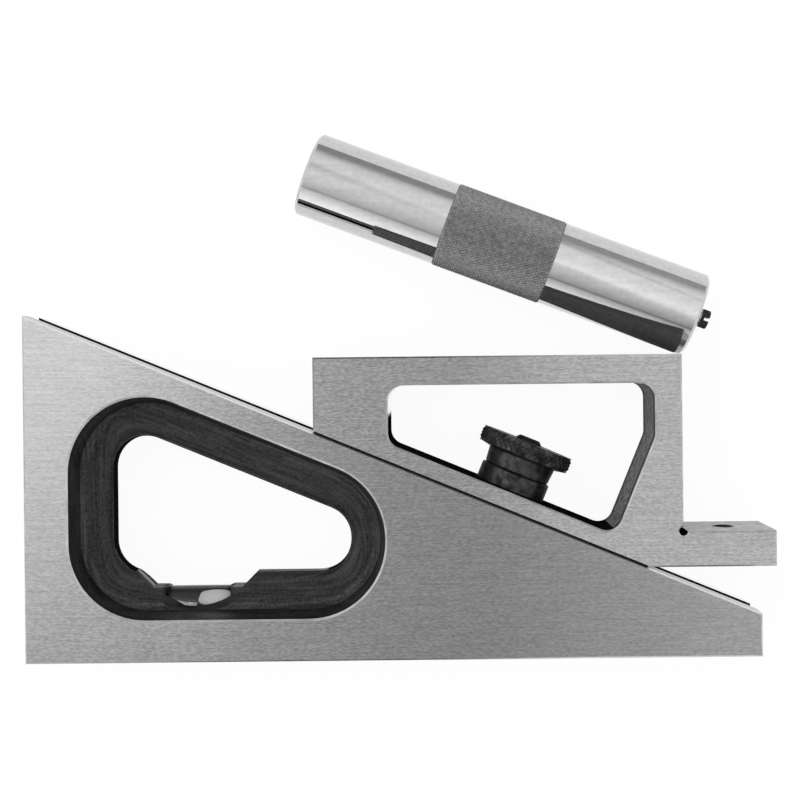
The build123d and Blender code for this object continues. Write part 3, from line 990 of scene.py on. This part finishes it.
# Level: a sealed glass with spirit and a bubble, lying along X in the notch. The bubble
# floats at the upper side, because the gauge lies on its side.

vial_low, vial_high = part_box("level_vial")
VIAL_MIDDLE = (vial_low + vial_high) / 2
VIAL_RADIUS = (vial_high.y - vial_low.y) / 2
VIAL_HALF = (vial_high.x - vial_low.x) / 2
VIAL_ROUND = 1.0 * MM
VIAL_ROUND_STEPS = 4
VIAL_END_RING = 0.3
VIAL_SIDES = 64
GLASS_WALL = 0.35 * MM
BUBBLE_SIZE = Vector((6.6, 3.1, 1.3)) * MM
BUBBLE_ALONG = 2.8 * MM
BUBBLE_DEPTH = 2.33 * MM
BUBBLE_TURN = radians(30)
BUBBLE_TILT = radians(6)
BED_MID_WIDTH = 8.6 * MM
BARREL_RADIUS = 19.46 * MM
BED_FOOT = base_low.y + 9.75 * MM
STRIKE_MARGIN = 0.15 * MM
STRIKE_NARROWING = 0.75
WEB_FACE_DEPTH = 3 * MM
BAR_LENGTH = 50 * MM
BAR_SIDES = 192


def rounded_rod(radius, half_length, rounding):
    """Section of a rod about its middle, with rounded ends."""
    section = [(VIAL_END_RING * radius, -half_length)]
    for step in range(VIAL_ROUND_STEPS + 1):
        angle = pi / 2 * step / VIAL_ROUND_STEPS
        section.append((radius - rounding * (1 - sin(angle)),
                        -half_length + rounding * (1 - cos(angle))))
    section += [(r, -z) for r, z in reversed(section)]
    return section


def make_level():
    tube = turned("level_tube", rounded_rod(VIAL_RADIUS, VIAL_HALF, VIAL_ROUND), VIAL_SIDES)
    spirit = turned("level_spirit", rounded_rod(
        VIAL_RADIUS - GLASS_WALL, VIAL_HALF - 2 * GLASS_WALL, VIAL_ROUND), VIAL_SIDES)
    bpy.ops.object.select_all(action="DESELECT")
    bpy.ops.mesh.primitive_uv_sphere_add(segments=32, ring_count=16, radius=0.5)
    bubble = bpy.context.object
    bubble.name = "level_bubble"
    bpy.ops.transform.resize(value=BUBBLE_SIZE)
    bpy.ops.object.transform_apply(location=True, rotation=True, scale=True)
    for piece in (tube, spirit):
        put_in_place(piece, VIAL_MIDDLE, UP, ALONG_SOLE)
    outwards = Vector((0, sin(BUBBLE_TURN), cos(BUBBLE_TURN)))
    along = ALONG_SOLE * cos(BUBBLE_TILT) + outwards.cross(ALONG_SOLE) * sin(BUBBLE_TILT)
    middle = VIAL_MIDDLE + ALONG_SOLE * BUBBLE_ALONG + outwards * BUBBLE_DEPTH
    put_in_place(bubble, middle, along, outwards)
    for piece, material in ((tube, glass), (spirit, spirit_dark), (bubble, bubble_pale)):
        select_only(piece)
        bpy.ops.object.shade_smooth_by_angle(angle=radians(40))
        piece.data.materials.append(material)
        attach(piece, "base")
    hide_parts("level_vial")


def block(start, end, side, near, far):
    """A block on one side of the middle plane, between two corners in X and Y and two
    distances from that plane, with its place in its mesh."""
    middle = ((start + end) / 2).to_3d()
    middle.z = THICKNESS / 2 + side * (near + far) / 2
    size = (end.x - start.x, end.y - start.y, far - near)
    bpy.ops.object.select_all(action="DESELECT")
    bpy.ops.mesh.primitive_cube_add(size=1.0, location=middle, scale=size)
    bpy.ops.object.transform_apply(location=True, rotation=True, scale=True)
    return bpy.context.object


def round_bar(radius, middle, axis):
    """A long round bar about a line through a point, with its place in its mesh."""
    bpy.ops.object.select_all(action="DESELECT")
    bpy.ops.mesh.primitive_cylinder_add(vertices=BAR_SIDES, radius=radius, depth=BAR_LENGTH)
    bar = bpy.context.object
    put_in_place(bar, middle, Vector((axis.y, axis.z, axis.x)), axis)
    return bar


def strike_tool(side, start, lift):
    """What strikes the plaster off on one side: a bar of the arc's radius between a start
    and the seat's end, narrower towards the middle plane."""
    low = Vector((start, SEAT_MIDDLE.y - SEAT_DEPTH))
    high = Vector((SEAT_MIDDLE.x + SEAT_LENGTH / 2 - STRIKE_MARGIN, SEAT_MIDDLE.y + MM))
    tool = block(low, high, side, -HAIR, WEB_HALF + MM)
    pick_vertices(tool, lambda point: abs(point.z - THICKNESS / 2) < MM)
    bpy.ops.transform.resize(
        value=(STRIKE_NARROWING, 1, 1), center_override=((low.x + high.x) / 2, 0, 0))
    bpy.ops.object.mode_set(mode="OBJECT")
    arc = round_bar(STRIKE_RADIUS, STRIKE_CENTRE + Vector((0, lift, THICKNESS / 2)), UP)
    cut_with(tool, arc, "INTERSECT")
    return tool


def web_side(side, left, right, top):
    """What lies beyond the web's face on one side, over a foot that slopes away from it."""
    beyond = block(Vector((left, BED_FOOT)), Vector((right, top)),
                   side, WEB_HALF, WEB_HALF + WEB_FACE_DEPTH)

    def outer_foot(point):
        return point.y < BED_FOOT + HAIR and abs(point.z - THICKNESS / 2) > WEB_HALF + MM

    pick_vertices(beyond, outer_foot)
    bpy.ops.transform.translate(value=(0, -WEB_FACE_DEPTH, 0))
    bpy.ops.object.mode_set(mode="OBJECT")
    return beyond


def make_bed():
    """The plaster round the lower half of the glass, level with the web, and struck off in an
    arc along its top on both sides."""
    low = Vector((SEAT_MIDDLE.x - SEAT_LENGTH / 2, SEAT_MIDDLE.y - SEAT_DEPTH))
    high = Vector((SEAT_MIDDLE.x + SEAT_LENGTH / 2, SEAT_MIDDLE.y - HAIR))
    bed = block(low, high, 1, -BED_MID_WIDTH / 2, BED_MID_WIDTH / 2)
    bed.name = "plaster_bed"
    for side in (-1, 1):
        barrel_middle = SEAT_MIDDLE + UP * side * (BARREL_RADIUS - BED_MID_WIDTH / 2)
        cut_with(bed, round_bar(BARREL_RADIUS, barrel_middle, Vector((0, 1, 0))), "INTERSECT")
        cut_with(bed, web_side(side, low.x - MM, high.x + MM, high.y + MM))
        cut_with(bed, strike_tool(side, low.x + STRIKE_MARGIN, LIP_HEIGHT))
        cut_with(bed, strike_tool(side, LIP_END, 0))
    cut_with(bed, round_bar(VIAL_RADIUS + HAIR, VIAL_MIDDLE, ALONG_SOLE))
    bed.data.materials.clear()
    bed.data.materials.append(bed_plaster)
    bpy.ops.object.shade_smooth_by_angle(angle=radians(25))
    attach(bed, "base")
    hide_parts("vial_bed")


make_extension()
make_stud()
make_nut()
make_level()
make_bed()


# Stage: a white surface that keeps a faint shadow, and white studio light

FLOOR_SIZE = 3.0
FLOOR_OWN_WHITE = 0.94


def make_floor():
    bpy.ops.object.select_all(action="DESELECT")
    bpy.ops.mesh.primitive_plane_add(size=FLOOR_SIZE, location=(0, 0, 0))
    floor = bpy.context.object
    floor.name = "floor"
    material, tree = new_material("white_table")
    shadowed = add_node(tree, "ShaderNodeBsdfDiffuse", inputs={"Color": (0.9, 0.9, 0.9, 1)})
    lit = add_node(tree, "ShaderNodeEmission", inputs={"Color": (1, 1, 1, 1), "Strength": 1.0})
    path = add_node(tree, "ShaderNodeLightPath")
    seen = combine(tree, "MAXIMUM", path.outputs["Is Camera Ray"], path.outputs["Is Glossy Ray"])
    seen = combine(tree, "MAXIMUM", seen, path.outputs["Is Transmission Ray"])
    mixed = add_node(tree, "ShaderNodeMixShader", inputs={
        0: combine(tree, "MULTIPLY", seen, FLOOR_OWN_WHITE),
        1: shadowed.outputs["BSDF"], 2: lit.outputs["Emission"]})
    output = add_node(tree, "ShaderNodeOutputMaterial")
    tree.links.new(mixed.outputs["Shader"], output.inputs["Surface"])
    floor.data.materials.append(material)


# The studio's white walls and ceiling, as stops from one side to the other: the ceiling
# across the extension, the sides along X, and a soft box over the heel, by how near a
# direction is to its own.
CEILING_LIGHT = [
    (0.0, 1.2), (0.02, 0.95), (0.05, 0.82), (0.087, 0.66), (0.13, 0.5), (0.16, 0.18), (0.19, 0.42),
    (0.28, 0.64), (0.36, 0.8), (0.41, 0.88), (0.54, 0.98), (0.62, 0.88), (0.7, 0.77), (0.84, 0.7),
    (0.9, 0.6), (0.94, 0.38), (0.965, 0.12), (0.98, 0.0), (1.0, 0.0)]
SIDE_LIGHT = [
    (0.0, 0.4), (0.25, 0.5), (0.42, 0.08), (0.49, 0.0), (0.51, 0.0), (0.54, 0.32), (0.66, 0.38),
    (0.668, 0.2), (0.677, 0.2), (0.684, 0.42), (0.8, 0.5), (1.0, 0.4)]
SOFT_BOX_LIGHT = [(0.0, 0.0), (0.42, 0.0), (0.48, 0.5), (0.57, 3.0), (0.75, 0.9), (1.0, 1.6)]
SOFT_BOX = Vector((-0.55, 0.2, 0.81)).normalized()
SOFT_BOX_REACH = 0.8


def make_world():
    world = bpy.data.worlds.new("white_studio")
    bpy.context.scene.world = world
    world.use_nodes = True
    tree = world.node_tree
    tree.nodes.clear()
    direction = add_node(tree, "ShaderNodeTexCoord").outputs["Generated"]

    def light_towards(place, start, stops):
        along = vector_math(tree, "DOT_PRODUCT", direction, place, "Value")
        light = add_node(tree, "ShaderNodeValToRGB", inputs={
            "Fac": spread(tree, along, start, 1, 0, 1)})
        set_stops(light, stops)
        return light.outputs["Color"]

    total = light_towards(SOFT_BOX, SOFT_BOX_REACH, SOFT_BOX_LIGHT)
    for place, stops in ((ROD_ACROSS, CEILING_LIGHT), (ALONG_SOLE, SIDE_LIGHT)):
        total = mix_colours(tree, 1.0, light_towards(place, -1, stops), total, "ADD")
    studio = add_node(tree, "ShaderNodeBackground", inputs={"Color": total, "Strength": 1.0})
    white = add_node(tree, "ShaderNodeBackground", inputs={"Color": (1, 1, 1, 1), "Strength": 1.0})
    path = add_node(tree, "ShaderNodeLightPath")
    mixed = add_node(tree, "ShaderNodeMixShader", inputs={
        0: path.outputs["Is Camera Ray"], 1: studio.outputs["Background"],
        2: white.outputs["Background"]})
    output = add_node(tree, "ShaderNodeOutputWorld")
    tree.links.new(mixed.outputs["Shader"], output.inputs["Surface"])


# The camera hangs straight over the set, 300 mm above the near side, a hair turned.
CAMERA_PLACE = Vector((9.015, 4.353, 319.35)) * MM
CAMERA_TURN = radians(-0.605)
CAMERA_SENSOR = 36.0
CAMERA_LENS = 75.68
CAMERA_SHIFT = (-0.0615, -0.0399)


def make_camera():
    data = bpy.data.cameras.new("camera")
    data.sensor_width = CAMERA_SENSOR
    data.lens = CAMERA_LENS
    data.shift_x, data.shift_y = CAMERA_SHIFT
    data.clip_start = 0.01
    data.clip_end = 10.0
    camera = bpy.data.objects.new("camera", data)
    camera.location = CAMERA_PLACE
    camera.rotation_euler = (0, 0, CAMERA_TURN)
    bpy.context.scene.collection.objects.link(camera)
    bpy.context.scene.camera = camera


make_floor()
make_world()
make_camera()
bpy.context.scene.view_settings.view_transform = "Standard"
